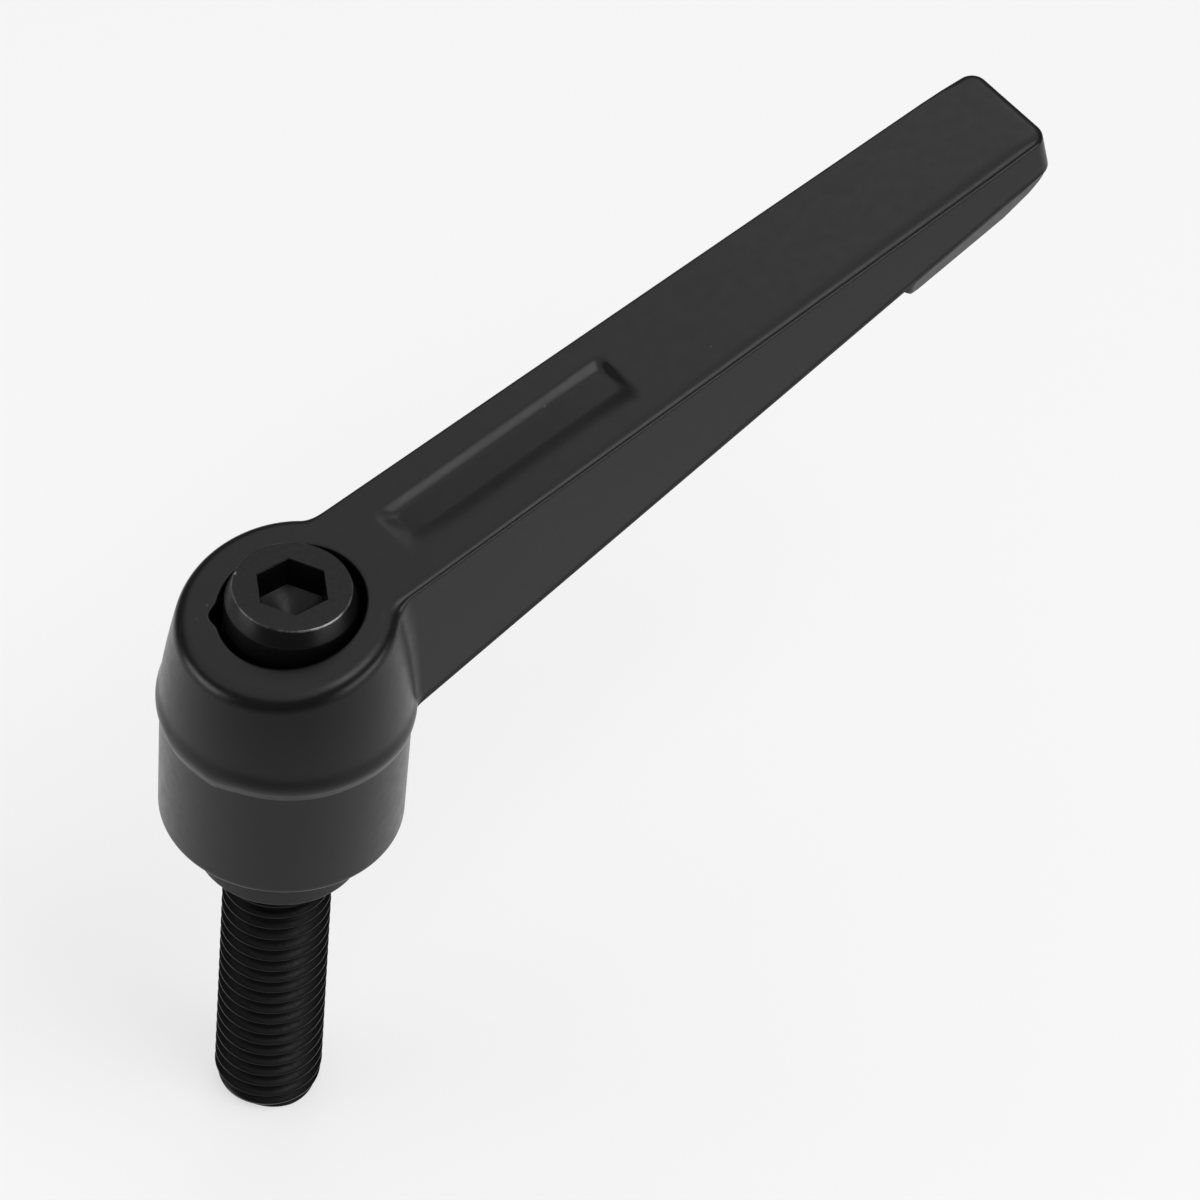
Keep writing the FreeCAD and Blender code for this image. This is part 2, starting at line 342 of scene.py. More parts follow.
# one column of the wall: up from the parting line, round the top edge and onto the top
def wallProfile(column, around):
    rim = columnPlace(column, topZ)
    wave = partingWave(*planPlace(column, casting["partingZ"])) if column[0] == "hub" else 0.0
    onArm = {"hub": 0.0, "blend": ease(2 * column[1])}.get(column[0], 1.0)
    below, squeeze, lift = casting["armFoot"]
    top = hubFoot[-1][0]
    rows = []
    for h, _ in hubFoot:
        if h < below:
            h = mix(h, squeeze * h + lift, onArm)
        rise = Vector((0, 0, wave * (1 - max(0.0, h) / top)))
        rows.append(columnPlace(column, lambda x: bottomZ(x) + h) + rise)
    down = (columnPlace(column, lambda x: topZ(x) - 1) - rim).normalized()
    inward = around.cross(Vector((-casting["topRise"], 0, 1))).normalized()
    reachDown, reachIn = edgeReach(column)
    start, stop = rim + down * reachDown, rim + inward * reachIn
    for share in casting["wallRows"]:
        rows.append(columnPlace(column, lambda x: mix(bottomZ(x) + top, topZ(x) - reachDown, share)))
    rows.append(start + down * casting["wallGuard"])
    for i in range(casting["edgeSteps"] + 1):
        t = i / casting["edgeSteps"]
        rows.append(start * (1 - t) ** 2 + rim * (2 * t * (1 - t)) + stop * t ** 2)
    rows.append(stop + inward * casting["guard"])
    # a small lip along the arm's lower edge
    share = {"blend": ease(column[1]), "side": 1.0}.get(column[0], 0.0)
    for i, out in enumerate(casting["lipOut"]):
        rows[i] += Vector((-inward.x, -inward.y, 0)) * out * share
    return rows


recess = {"hubX": 11.2, "tipX": 37.45, "farY": 3.2, "nearY": -3.5, "hubWall": 1.9, "tipWall": 1.0,
          "farWall": 1.45, "nearWall": 2.6, "farDepth": 0.62, "nearDepth": 0.08, "tipDepth": 0.12,
          "hubShare": 0.25, "hubLean": 1.3, "tipShare": 1.15, "endLen": 6, "mouthR": 1.2, "floorR": 0.45,
          "soft": 0.8, "guard": -0.14, "steps": 14, "cornerSteps": 9, "sideSteps": 14, "endSteps": 4}


def recessOutline(t):  # rounded rectangle as (x along the face, y): the mouth at 0, the floor at 1
    c = recess
    r = mix(c["mouthR"], c["floorR"], t)
    x0, x1 = c["hubX"] + c["hubWall"] * t, c["tipX"] - c["tipWall"] * t
    y0, y1 = c["nearY"] + c["nearWall"] * t, c["farY"] - c["farWall"] * t
    places = []
    corners = ((x1 - r, y1 - r, 0), (x0 + r, y1 - r, 90), (x0 + r, y0 + r, 180), (x1 - r, y0 + r, 270))
    for cx, cy, a0 in corners:
        for i in range(c["cornerSteps"] + 1):
            a = math.radians(a0 + 90 * i / c["cornerSteps"])
            places.append((cx + r * math.cos(a), cy + r * math.sin(a)))
        steps = c["sideSteps"] if a0 in (0, 180) else c["endSteps"]
        following = {0: (x0 + r, y1), 90: (x0, y0 + r), 180: (x1 - r, y0), 270: (x1, y1 - r)}[a0]
        last = places[-1]
        for i in range(1, steps):
            places.append((mix(last[0], following[0], i / steps), mix(last[1], following[1], i / steps)))
    return places


def recessDepth(place):  # the floor leans, so that it is deeper along the far side
    c = recess
    y = (place[1] - c["nearY"]) / (c["farY"] - c["nearY"])
    hubEnd = 1 - ease((place[0] - c["hubX"]) / c["endLen"])
    tipEnd = 1 - ease((c["tipX"] - place[0]) / c["endLen"])
    share = mix(1.0, c["hubShare"], hubEnd * (1 - ease(c["hubLean"] * y))) * mix(1.0, c["tipShare"], tipEnd)
    return mix(c["nearDepth"] + c["tipDepth"] * tipEnd, c["farDepth"], y) * share


def onTop(place, depth=0.0):  # from the recess's own flat drawing onto the sloping top
    slope = math.atan(casting["topRise"])
    along, y = place
    return Vector((along * math.cos(slope) + depth * math.sin(slope), y,
                   casting["topZ"] + along * math.sin(slope) - depth * math.cos(slope)))


bore = {"headR": 6.6, "edgeR": 0.22, "guard": 0.16, "webZ": 15.1, "webTopZ": 16.7, "webHoleR": 5.05,
        "toothZ": 10.5, "guideR": 7.83, "blindZ": 24.0, "notchDeg": 145.0, "notchHalfDeg": 13.5,
        "notchOut": 0.55, "notchDepth": 4.0, "teeth": 24, "rootR": 7.83, "tipR": 7.12, "rootHalf": 0.43,
        "tipHalf": 0.09, "mouthEdge": 0.25, "headGap": 0.02, "beyond": 1, "edgeSteps": 4, "crowd": 10,
        "steps": 144}


def crowded(t):  # crowds the bore's corners near the notch
    return t - bore["crowd"] / bore["steps"] * math.sin(2 * math.pi * t)


def boreOutline(z, notch=1.0, grow=0.0):  # without a height it lies along the sloping top
    c = bore
    places = []
    for i in range(c["steps"]):
        off = 360 * crowded(i / c["steps"])
        off = (off + 180) % 360 - 180
        r = c["headR"] + grow
        if abs(off) < c["notchHalfDeg"]:
            r += notch * c["notchOut"] * math.cos(math.pi / 2 * off / c["notchHalfDeg"]) ** 2
        a = math.radians(c["notchDeg"] + off)
        x, y = r * math.cos(a), r * math.sin(a)
        places.append(Vector((x, y, topZ(x) if z is None else z)))
    return places


def makeUpperCasting():
    columns = castingColumns()
    rims = [columnPlace(column, topZ) for column in columns]
    count = len(columns)
    profiles = []
    for i, column in enumerate(columns):
        around = (rims[(i + 1) % count] - rims[i - 1]).normalized()
        profiles.append(wallProfile(column, around))
    piece, feet, ring = stackRings("lever", list(zip(*profiles)))
    mouth = addRing(piece, [onTop(p) for p in recessOutline(recess["guard"])])
    hole = addRing(piece, boreOutline(None, grow=bore["edgeR"] + bore["guard"]))
    fillRings(piece, [ring, mouth, hole])
    mouth = growRing(piece, mouth, [onTop(p) for p in recessOutline(0)])
    hole = growRing(piece, hole, boreOutline(None, grow=bore["edgeR"]))

    # the recess: soft shoulder, sloping wall and soft floor
    for j in range(1, recess["steps"] + 1):
        t = j / recess["steps"]
        share = mix(t, ease(t), recess["soft"])
        mouth = growRing(piece, mouth, [onTop(p, recessDepth(p) * share) for p in recessOutline(t)])
    fillRings(piece, [mouth])

    # the bore: a small worn edge, the notch's floor, then plain down to a blind floor
    for j in range(1, bore["edgeSteps"] + 1):
        a = math.pi / 2 * j / bore["edgeSteps"]
        drop = bore["edgeR"] * (1 - math.cos(a))
        places = boreOutline(None, grow=bore["edgeR"] * (1 - math.sin(a)))
        hole = growRing(piece, hole, [p - Vector((0, 0, drop)) for p in places])
    floorZ = topZ(-bore["headR"]) - bore["notchDepth"]
    hole = growRing(piece, hole, boreOutline(floorZ))
    hole = growRing(piece, hole, boreOutline(floorZ - hair, notch=0.0))
    hole = growRing(piece, hole, boreOutline(bore["blindZ"], notch=0.0))
    fillRings(piece, [hole])

    # the underside, as strips between the two sides and one face at the end
    bm = selectOnly(piece, [])
    bm.verts.ensure_lookup_table()
    last = count // 2 - casting["endSteps"] - 1
    for i in range(last):
        corners = [feet[i], feet[i + 1], feet[-i - 1], feet[-i]]
        loop = []
        for index in corners:
            if bm.verts[index] not in loop:
                loop.append(bm.verts[index])
        bm.faces.new(loop)
    bm.faces.new([bm.verts[index] for index in feet[last:count - last + 1]])
    bmesh.update_edit_mesh(piece.data)
    doneEditing()
    mergeAndFaceOut(piece)
    return piece


lower = {"underDepth": 0.5, "underDraft": 0.19, "step": 0.05, "stripX": 4.0, "overlap": 0.8, "rise": 0.5,
         "lipIn": 0.1, "lipDown": 0.42, "stripSteps": 24, "gripLen": 16.0, "gripDepth": 2.65, "riseLen": 4.2,
         "bendLen": 1.4, "bendDepth": 1.9, "innerR": 1.1, "inset": 0.3, "startDepth": 2.3, "startEdge": 1.2,
         "levels": (-0.45, 0.06, 0.6, 1.4, 2.2, 3.4),
         "startCurve": ((0, 1.3), (0.25, 0.65), (0.75, 0.17), (1.5, -0.025)),
         "edgeR": 0.42, "edgeDeg": 18, "edgeSteps": 4, "cornerSteps": 10}


def lowerHalf(x, z):
    c = casting
    split = splitZ(x)
    return c["halfW"] + c["draft"] * (c["topZ"] - split) - lower["underDraft"] * (split - z) - lower["step"]


def makeStrip():  # the thin lower skin of the arm, between the hub and the grip
    x0, x1 = lower["stripX"], casting["endX"] - lower["gripLen"] + lower["overlap"]
    steps = lower["stripSteps"]
    far = [mix(x0, x1, i / steps) for i in range(steps + 1)]
    outline = [(x, 1) for x in far] + [(x, -1) for x in reversed(far)]
    top = [(x, side * lowerHalf(x, splitZ(x)), splitZ(x) + lower["rise"]) for x, side in outline]
    lip = lower["underDepth"] - lower["lipDown"]
    above = [(x, side * lowerHalf(x, splitZ(x) - lip), splitZ(x) - lip) for x, side in outline]
    under, lipIn = lower["underDepth"], lower["lipIn"]
    low = [(x, side * (lowerHalf(x, splitZ(x) - under) - lipIn), splitZ(x) - under) for x, side in outline]
    piece, first, last = stackRings("strip", [top, above, low])
    closeEnds(piece, first, last)
    return piece


def makeGrip():  # the deeper end of the arm: a block cut to its profile, with soft edges
    c = lower
    endX = casting["endX"] + casting["endDraft"] * casting["endH"] - c["step"]
    startX = casting["endX"] - c["gripLen"]
    outline = []
    for cx, side, a0, r in ((endX, 1, 0, casting["cornerR"]), (startX, 1, 90, c["innerR"]),
                            (startX, -1, 180, c["innerR"]), (endX, -1, 270, casting["cornerR"])):
        for i in range(c["cornerSteps"] + 1):
            a = math.radians(a0 + 90 * i / c["cornerSteps"])
            outline.append((cx - r + r * math.cos(a) if cx == endX else cx + r + r * math.cos(a), side, r,
                            math.sin(a) * side))

    def level(depth):
        places = []
        for x, side, r, s in outline:
            z = splitZ(x) - depth
            inset = c["inset"] if depth < 0 else 0.0
            y = side * (lowerHalf(x, z) - r * (1 - s) - inset)
            places.append((x - inset if x > (startX + endX) / 2 else x, y, z))
        return places

    piece, first, last = stackRings("grip", [level(depth) for depth in c["levels"]])
    closeEnds(piece, first, last)
    r = c["startEdge"]
    profile = [(startX + x * r, c["startDepth"] - z * r) for x, z in c["startCurve"]]
    profile += [(casting["endX"] - c["riseLen"], c["gripDepth"]),
                (casting["endX"] - c["bendLen"], c["bendDepth"]), (endX, 0.0)]
    points = [Vector((x, 0, splitZ(x) - depth)) for x, depth in profile]
    for a, b in zip(points, points[1:]):
        cutFlat(piece, a, (b - a).normalized().cross(Vector((0, -1, 0))), threshold=1e-6)
    bm = edit(piece, "EDGE")
    for edge in bm.edges:
        if edge.is_manifold and edge.calc_face_angle(0) > math.radians(c["edgeDeg"]):
            middle = (edge.verts[0].co + edge.verts[1].co) / 2 / mm
            if middle.z < splitZ(middle.x) - c["step"] and middle.x < endX - c["inset"]:
                edge.select = True
    bmesh.update_edit_mesh(piece.data)
    bpy.ops.mesh.bevel(offset=c["edgeR"] * mm, segments=c["edgeSteps"], affect="EDGES", clamp_overlap=True)
    doneEditing()
    mergeAndFaceOut(piece)
    return piece


skirt = {"innerR": 6.9, "bottomZ": 5.5, "topR": 11.3, "bottomR": 11.14, "edgeR": 0.52, "edgeSteps": 6,
         "wallRows": (0.02, 0.3, 0.6, 0.9), "topRows": ((0, -0.3), (0, -0.02), (-0.3, 0.2)), "steps": 180}


def makeSkirt():
    c = skirt
    edgeR = c["edgeR"]
    rows = [(c["innerR"], c["bottomZ"])]
    for i in range(c["edgeSteps"] + 1):
        a = math.pi / 2 * i / c["edgeSteps"]
        rows.append((c["bottomR"] - edgeR * (1 - math.sin(a)), c["bottomZ"] + edgeR * (1 - math.cos(a))))
    for share in c["wallRows"]:
        z = mix(c["bottomZ"] + edgeR, casting["partingZ"], share)
        rows.append((mix(c["bottomR"], c["topR"], share), z))
    rows = [circlePlaces(c["steps"], r, z) for r, z in rows]
    # the top follows the parting line, inside the casting
    for out, lift in c["topRows"]:
        places = circlePlaces(c["steps"], c["topR"] + out, casting["partingZ"] + lift)
        rows.append([(x, y, z + partingWave(x, y)) for x, y, z in places])
    piece, first, last = stackRings("skirt", rows)
    closeEnds(piece, first, last)
    return piece


def innerTeeth(z):  # the hollow is wide at each root of the lever's teeth and narrow at each tip
    return toothedRing(z, bore["teeth"], (bore["rootR"], bore["rootHalf"]), (bore["tipR"], bore["tipHalf"]))


def makeHollow():
    c = bore
    angles = [math.atan2(y, x) for x, y, z in innerTeeth(0)]
    mouthR, headR, bottomZ = c["guideR"] + c["mouthEdge"], c["headR"] - c["headGap"], skirt["bottomZ"]
    piece, first, last = stackRings("hollow", [
        ringAt(angles, mouthR, bottomZ - c["beyond"]), ringAt(angles, mouthR, bottomZ),
        ringAt(angles, c["guideR"], bottomZ + c["mouthEdge"]), ringAt(angles, c["guideR"], c["toothZ"]),
        innerTeeth(c["toothZ"] + hair), innerTeeth(c["webZ"]),
        ringAt(angles, c["webHoleR"], c["webZ"] + hair), ringAt(angles, c["webHoleR"], c["webTopZ"]),
        ringAt(angles, headR, c["webTopZ"] + hair), ringAt(angles, headR, c["blindZ"] + c["beyond"])])
    closeEnds(piece, first, last)
    return piece


def makeLever():
    piece = makeUpperCasting()
    print("casting: upper half", len(piece.data.polygons), "faces")
    for other in (makeSkirt(), makeStrip(), makeGrip()):
        combine(piece, other, "UNION")
    print("casting: with skirt and grip", len(piece.data.polygons), "faces")
    combine(piece, makeHollow(), "DIFFERENCE")
    mergeAndFaceOut(piece)
    smooth(piece, degrees=30)
    print("casting: hollowed", len(piece.data.polygons), "faces")
    return piece


# the retaining screw

screw = {"threadR": 4.0, "endZ": 6.5, "endEdge": 0.7, "seatZ": 15.0, "shankR": 4.75, "underZ": 28.2,
         "underEdge": 0.2, "headR": 5.95, "topZ": 34.0, "bevelH": 1.7, "bevelW": 0.65, "edgeR": 0.09,
         "shoulderR": 0.6, "guard": 0.16, "hexAf": 5.84, "hexDepth": 3.3, "hexTurn": -1.2, "hexEdge": 0.08,
         "hexRows": (0.05, 0.02, 0.03), "drillR": 2.5, "drillDrop": 0.25, "drillDeg": 30,
         "drillRows": (0, 0.3, 0.6, 0.85, 0.95), "shoulderSteps": 5, "edgeSteps": 4, "steps": 144}


def hexPlaces(af, z):
    first = math.radians(screw["hexTurn"])
    places = []
    for i in range(screw["steps"]):
        a = first + 2 * math.pi * i / screw["steps"]
        r = af / 2 / math.cos((a - first) % (math.pi / 3) - math.pi / 6)
        places.append((r * math.cos(a), r * math.sin(a), z))
    return places


def roundedCorner(before, corner, after, r, steps):  # an arc that is tangent to both lines
    a, b, p = Vector(before), Vector(after), Vector(corner)
    down, on = (a - p).normalized(), (b - p).normalized()
    between = down.angle(on)
    reach = r / math.tan(between / 2)
    centre = p + (down + on).normalized() * (r / math.sin(between / 2))
    u, v = p + down * reach - centre, p + on * reach - centre
    sweep = u.angle(v)
    return [tuple(centre + (u * math.sin((1 - i / steps) * sweep) + v * math.sin(i / steps * sweep))
                  / math.sin(sweep)) for i in range(steps + 1)]


def makeScrew():
    c = screw
    turn = math.radians(c["hexTurn"])
    shoulder, rim = (c["headR"], c["topZ"] - c["bevelH"]), (c["headR"] - c["bevelW"], c["topZ"])
    rows = [(c["threadR"] - c["endEdge"], c["endZ"]), (c["threadR"], c["endZ"] + c["endEdge"]),
            (c["threadR"], c["seatZ"]), (c["shankR"], c["seatZ"]), (c["shankR"], c["underZ"]),
            (c["headR"] - c["underEdge"], c["underZ"]), (c["headR"], c["underZ"] + c["underEdge"])]
    rows += roundedCorner((c["headR"], c["underZ"]), shoulder, rim, c["shoulderR"], c["shoulderSteps"])
    rows += roundedCorner(shoulder, rim, (0, c["topZ"]), c["edgeR"], c["edgeSteps"])
    rows.append((rim[0] - c["guard"], c["topZ"]))
    rows = [circlePlaces(c["steps"], r, z, turn) for r, z in rows]
    # the socket, and the drill's cone under it
    floorZ, edgeAf, edgeZ = c["topZ"] - c["hexDepth"], c["hexAf"] + 2 * c["hexEdge"], c["topZ"] - c["hexEdge"]
    outside, inside, below = c["hexRows"]
    for af, z in ((edgeAf + outside, c["topZ"]), (edgeAf, c["topZ"]), (c["hexAf"] + inside, edgeZ),
                  (c["hexAf"], edgeZ - below), (c["hexAf"], floorZ)):
        rows.append(hexPlaces(af, z))
    drillZ = floorZ - c["drillDrop"]
    tipZ = drillZ - c["drillR"] * math.tan(math.radians(c["drillDeg"]))
    for share in c["drillRows"]:
        rows.append(circlePlaces(c["steps"], c["drillR"] * (1 - share), mix(drillZ, tipZ, share), turn))
    piece, first, last = stackRings("retaining_screw_head", rows)
    closeToPoint(piece, last, (0, 0, tipZ))
    closeEnds(piece, first)
    smooth(piece, degrees=24)
    return piece


# the threaded insert

insert = {"studR": 5.0, "studLen": 32.9, "pitch": 1.5, "rootR": 4.08, "crest": 0.19, "root": 0.26,
          "crestSoft": ((0, -0.03), (-0.035, 0.01)), "rootSoft": ((0.05, -0.04), (0, 0.03)), "tipLen": 1.8,
          "tipCut": 0.55, "threadTopZ": 0.6, "innerR": 3.0, "collarR": 7.75, "collarEdge": 0.2, "guard": 0.1,
          "edgeSteps": 4, "toothZ": 10.5, "topZ": 15.0, "toothDepth": 0.75, "toothHalf": 0.31,
          "grooveHalf": 0.15, "toothEdge": 0.15, "teeth": 24, "holeR": 4.05, "holeZ": 5.0, "holeEdge": 0.4,
          "turnSteps": 96}


def makeThread():  # one pitch of the thread's profile, wound round the axis and cut to length
    c = insert
    p = c["pitch"]
    crest, root = c["crest"] / 2, (p - c["root"]) / 2
    profile = [(c["studR"], 0)] + [(c["studR"] + r, crest + z) for r, z in c["crestSoft"]]
    profile.append((mix(c["studR"], c["rootR"], 0.5), mix(crest, root, 0.5)))
    profile += [(c["rootR"] + r, root + z) for r, z in c["rootSoft"]] + [(c["rootR"], p / 2)]
    profile += [(r, p - z) for r, z in reversed(profile[:-1])]
    turns = math.ceil((c["studLen"] + c["threadTopZ"]) / p) + 3
    piece, _ = newRing("thread", [(r, 0, z - c["studLen"] - 2 * p) for r, z in profile])
    bm = bmesh.from_edit_mesh(piece.data)
    closing = next(edge for edge in bm.edges if {v.index for v in edge.verts} == {0, len(profile) - 1})
    bm.edges.remove(closing)
    bmesh.update_edit_mesh(piece.data)
    doneEditing()
    steps = c["turnSteps"]
    useModifier(piece, "SCREW", angle=2 * math.pi, screw_offset=p * mm, iterations=turns, steps=steps,
                render_steps=steps, axis="Z", use_merge_vertices=True, merge_threshold=0.00005 * mm,
                use_smooth_shade=False)
    mergeAndFaceOut(piece, gap=0.0001)
    cutFlat(piece, Vector((0, 0, -c["studLen"])), (0, 0, 1), above=False)
    cutFlat(piece, Vector((0, 0, c["threadTopZ"])), (0, 0, 1))
    bm = edit(piece)  # the chamfer at the stud's end
    for corner in bm.verts:
        x, y, z = corner.co / mm
        limit = c["studR"] - c["tipCut"] * (1 - (z + c["studLen"]) / c["tipLen"])
        r = math.hypot(x, y)
        if r > limit:
            corner.co.x *= limit / r
            corner.co.y *= limit / r
    bmesh.update_edit_mesh(piece.data)
    doneEditing()
    mergeAndFaceOut(piece, gap=0.0001)
    return piece


def outerTeeth(z, grow=0.0):
    c = insert
    return toothedRing(z, c["teeth"], (c["collarR"] + grow, c["toothHalf"]),
                       (c["collarR"] - c["toothDepth"], c["grooveHalf"]))


def makeInsert():
    c = insert
    angles = [math.atan2(y, x) for x, y, z in outerTeeth(0)]
    collarR, edge, toothEdge, holeEdge = c["collarR"], c["collarEdge"], c["toothEdge"], c["holeEdge"]
    rows = [ringAt(angles, c["innerR"], 0), ringAt(angles, collarR - edge - c["guard"], 0)]
    for i in range(c["edgeSteps"] + 1):
        a = math.pi / 2 * i / c["edgeSteps"]
        rows.append(ringAt(angles, collarR - edge * (1 - math.sin(a)), edge * (1 - math.cos(a))))
    rows += [ringAt(angles, collarR, edge + c["guard"]), ringAt(angles, collarR, c["toothZ"]),
             outerTeeth(c["toothZ"] + hair), outerTeeth(c["topZ"] - toothEdge),
             outerTeeth(c["topZ"], -toothEdge), ringAt(angles, c["holeR"] + holeEdge, c["topZ"]),
             ringAt(angles, c["holeR"], c["topZ"] - holeEdge), ringAt(angles, c["holeR"], c["holeZ"])]
    piece, first, last = stackRings("threaded_insert_stud", rows)
    closeEnds(piece, first, last)
    combine(piece, makeThread(), "UNION")
    mergeAndFaceOut(piece, gap=0.0001)
    smooth(piece, degrees=28)
    return piece


# the spring

coil = {"wireR": 0.5, "meanR": 5.6, "bottomZ": 16.7, "topZ": 28.2, "coils": 5.0, "endCoils": 0.5,
        "turnSteps": 48, "wireSteps": 16}


def makeSpring():
    c = coil
    pitch = (c["topZ"] - c["bottomZ"]) / c["coils"]
    turns = c["coils"] + c["endCoils"]
    startZ = c["bottomZ"] - pitch * c["endCoils"] / 2
    lean = math.atan(pitch / (2 * math.pi * c["meanR"]))
    places = []
    for i in range(c["wireSteps"]):
        a = 2 * math.pi * i / c["wireSteps"]
        out, up = c["wireR"] * math.cos(a), c["wireR"] * math.sin(a)
        places.append((c["meanR"] + out, -up * math.sin(lean), startZ + up * math.cos(lean)))
    piece, _ = newRing("spring_coil", places)
    doneEditing()
    steps = round(c["turnSteps"] * turns)
    useModifier(piece, "SCREW", angle=2 * math.pi * turns, screw_offset=pitch * turns * mm, iterations=1,
                steps=steps, render_steps=steps, axis="Z")
    # both ends are ground flat
    cutFlat(piece, Vector((0, 0, c["bottomZ"])), (0, 0, 1), above=False)
    cutFlat(piece, Vector((0, 0, c["topZ"])), (0, 0, 1))
    mergeAndFaceOut(piece)
    smooth(piece, degrees=40)
    return piece


# finishes

def newFinish(name):
    finish = bpy.data.materials.new(name)
    finish.use_nodes = True
    nodes, links = finish.node_tree.nodes, finish.node_tree.links
    return finish, nodes, links, nodes["Principled BSDF"]


def noise(nodes, links, place, scale, detail=2.0, roughness=0.5):
    node = nodes.new("ShaderNodeTexNoise")
    node.inputs["Scale"].default_value = scale
    node.inputs["Detail"].default_value = detail
    node.inputs["Roughness"].default_value = roughness
    links.new(place, node.inputs["Vector"])
    return node.outputs["Fac"]


def ramp(nodes, links, source, low, high, lowValue, highValue):
    node = nodes.new("ShaderNodeMapRange")
    node.inputs["From Min"].default_value = low
    node.inputs["From Max"].default_value = high
    node.inputs["To Min"].default_value = lowValue
    node.inputs["To Max"].default_value = highValue
    links.new(source, node.inputs["Value"])
    return node.outputs["Result"]


def bump(nodes, links, source, distance, strength, below=None):
    node = nodes.new("ShaderNodeBump")
    node.inputs["Distance"].default_value = distance * mm
    node.inputs["Strength"].default_value = strength
    links.new(source, node.inputs["Height"])
    if below is not None:
        links.new(below, node.inputs["Normal"])
    return node.outputs["Normal"]


def mixColour(nodes, links, share, a, b):
    node = nodes.new("ShaderNodeMix")
    node.data_type = "RGBA"
    for key, colour in (("A", a), ("B", b)):
        if isinstance(colour, tuple):
            node.inputs[key].default_value = (*colour, 1)
        else:
            links.new(colour, node.inputs[key])
    links.new(share, node.inputs["Factor"])
    return node.outputs["Result"]


def mathNode(nodes, links, operation, a, b=0.0):
    node = nodes.new("ShaderNodeMath")
    node.operation = operation
    for socket, value in zip(node.inputs, (a, b)):
        if isinstance(value, (int, float)):
            socket.default_value = value
        else:
            links.new(value, socket)
    return node.outputs["Value"]


def distanceTo(nodes, links, place, spot):
    node = nodes.new("ShaderNodeVectorMath")
    node.operation = "DISTANCE"
    links.new(place, node.inputs[0])
    node.inputs[1].default_value = Vector(spot) * mm
    return node.outputs["Value"]


noiseSpan = (0.3, 0.7)  # where most of a noise's values lie
coat = {"dark": (0.0022, 0.0022, 0.0023), "light": (0.0036, 0.0036, 0.0037), "cloudScale": 220,
        "specular": 0.28, "roughness": (0.28, 0.35), "fineScale": 900, "peelScale": 1500, "peelDepth": 0.01,
        "peelShare": 0.35, "waveScale": 160, "waveDepth": 0.04, "waveShare": 0.25,
        "dust": (0.035, 0.035, 0.034), "specks": (((-5.35, 5.15, 30.39), 0.17), ((-6.9, 4.6, 30.1), 0.12),
                                                  ((29.65, 2.14, 37.4), 0.17), ((44.2, -3.1, 40.86), 0.12))}


def powderCoat():
    finish, nodes, links, shader = newFinish("satinBlackPowderCoat")
    place = nodes.new("ShaderNodeTexCoord").outputs["Object"]
    cloud = noise(nodes, links, place, coat["cloudScale"], detail=3.0)
    black = mixColour(nodes, links, cloud, coat["dark"], coat["light"])
    marks = None
    for spot, size in coat["specks"]:
        near = ramp(nodes, links, distanceTo(nodes, links, place, spot), size * 0.5 * mm, size * mm, 1.0, 0.0)
        marks = near if marks is None else mathNode(nodes, links, "MAXIMUM", marks, near)
    links.new(mixColour(nodes, links, marks, black, coat["dust"]), shader.inputs["Base Color"])
    fine = noise(nodes, links, place, coat["fineScale"], detail=3.0)
    links.new(ramp(nodes, links, fine, *noiseSpan, *coat["roughness"]), shader.inputs["Roughness"])
    wave = noise(nodes, links, place, coat["waveScale"])
    wave = bump(nodes, links, wave, coat["waveDepth"], coat["waveShare"])
    peel = noise(nodes, links, place, coat["peelScale"])
    peel = bump(nodes, links, peel, coat["peelDepth"], coat["peelShare"], wave)
    links.new(peel, shader.inputs["Normal"])
    shader.inputs["Specular IOR Level"].default_value = coat["specular"]
    return finish


# bare steel along the rim of the screw's head, most of it on some sides: (degrees, where it starts, how much)
worn = {"rimR": 5.32, "rimHalf": 0.088, "fullShare": 0.4, "under": (0.2, 0.1), "least": 0.16, "sideEnd": 0.97,
        "sides": ((-85, 0.35, 1.0), (55, 0.8, 0.6), (160, 0.6, 0.4)), "patchScale": 900,
        "patches": (0.38, 0.6, 0.25, 1.0), "nick": (-3.2, 4.23, 34.0), "nickR": (0.1, 0.24), "nickShare": 0.9,
        "steel": (0.24, 0.24, 0.245)}


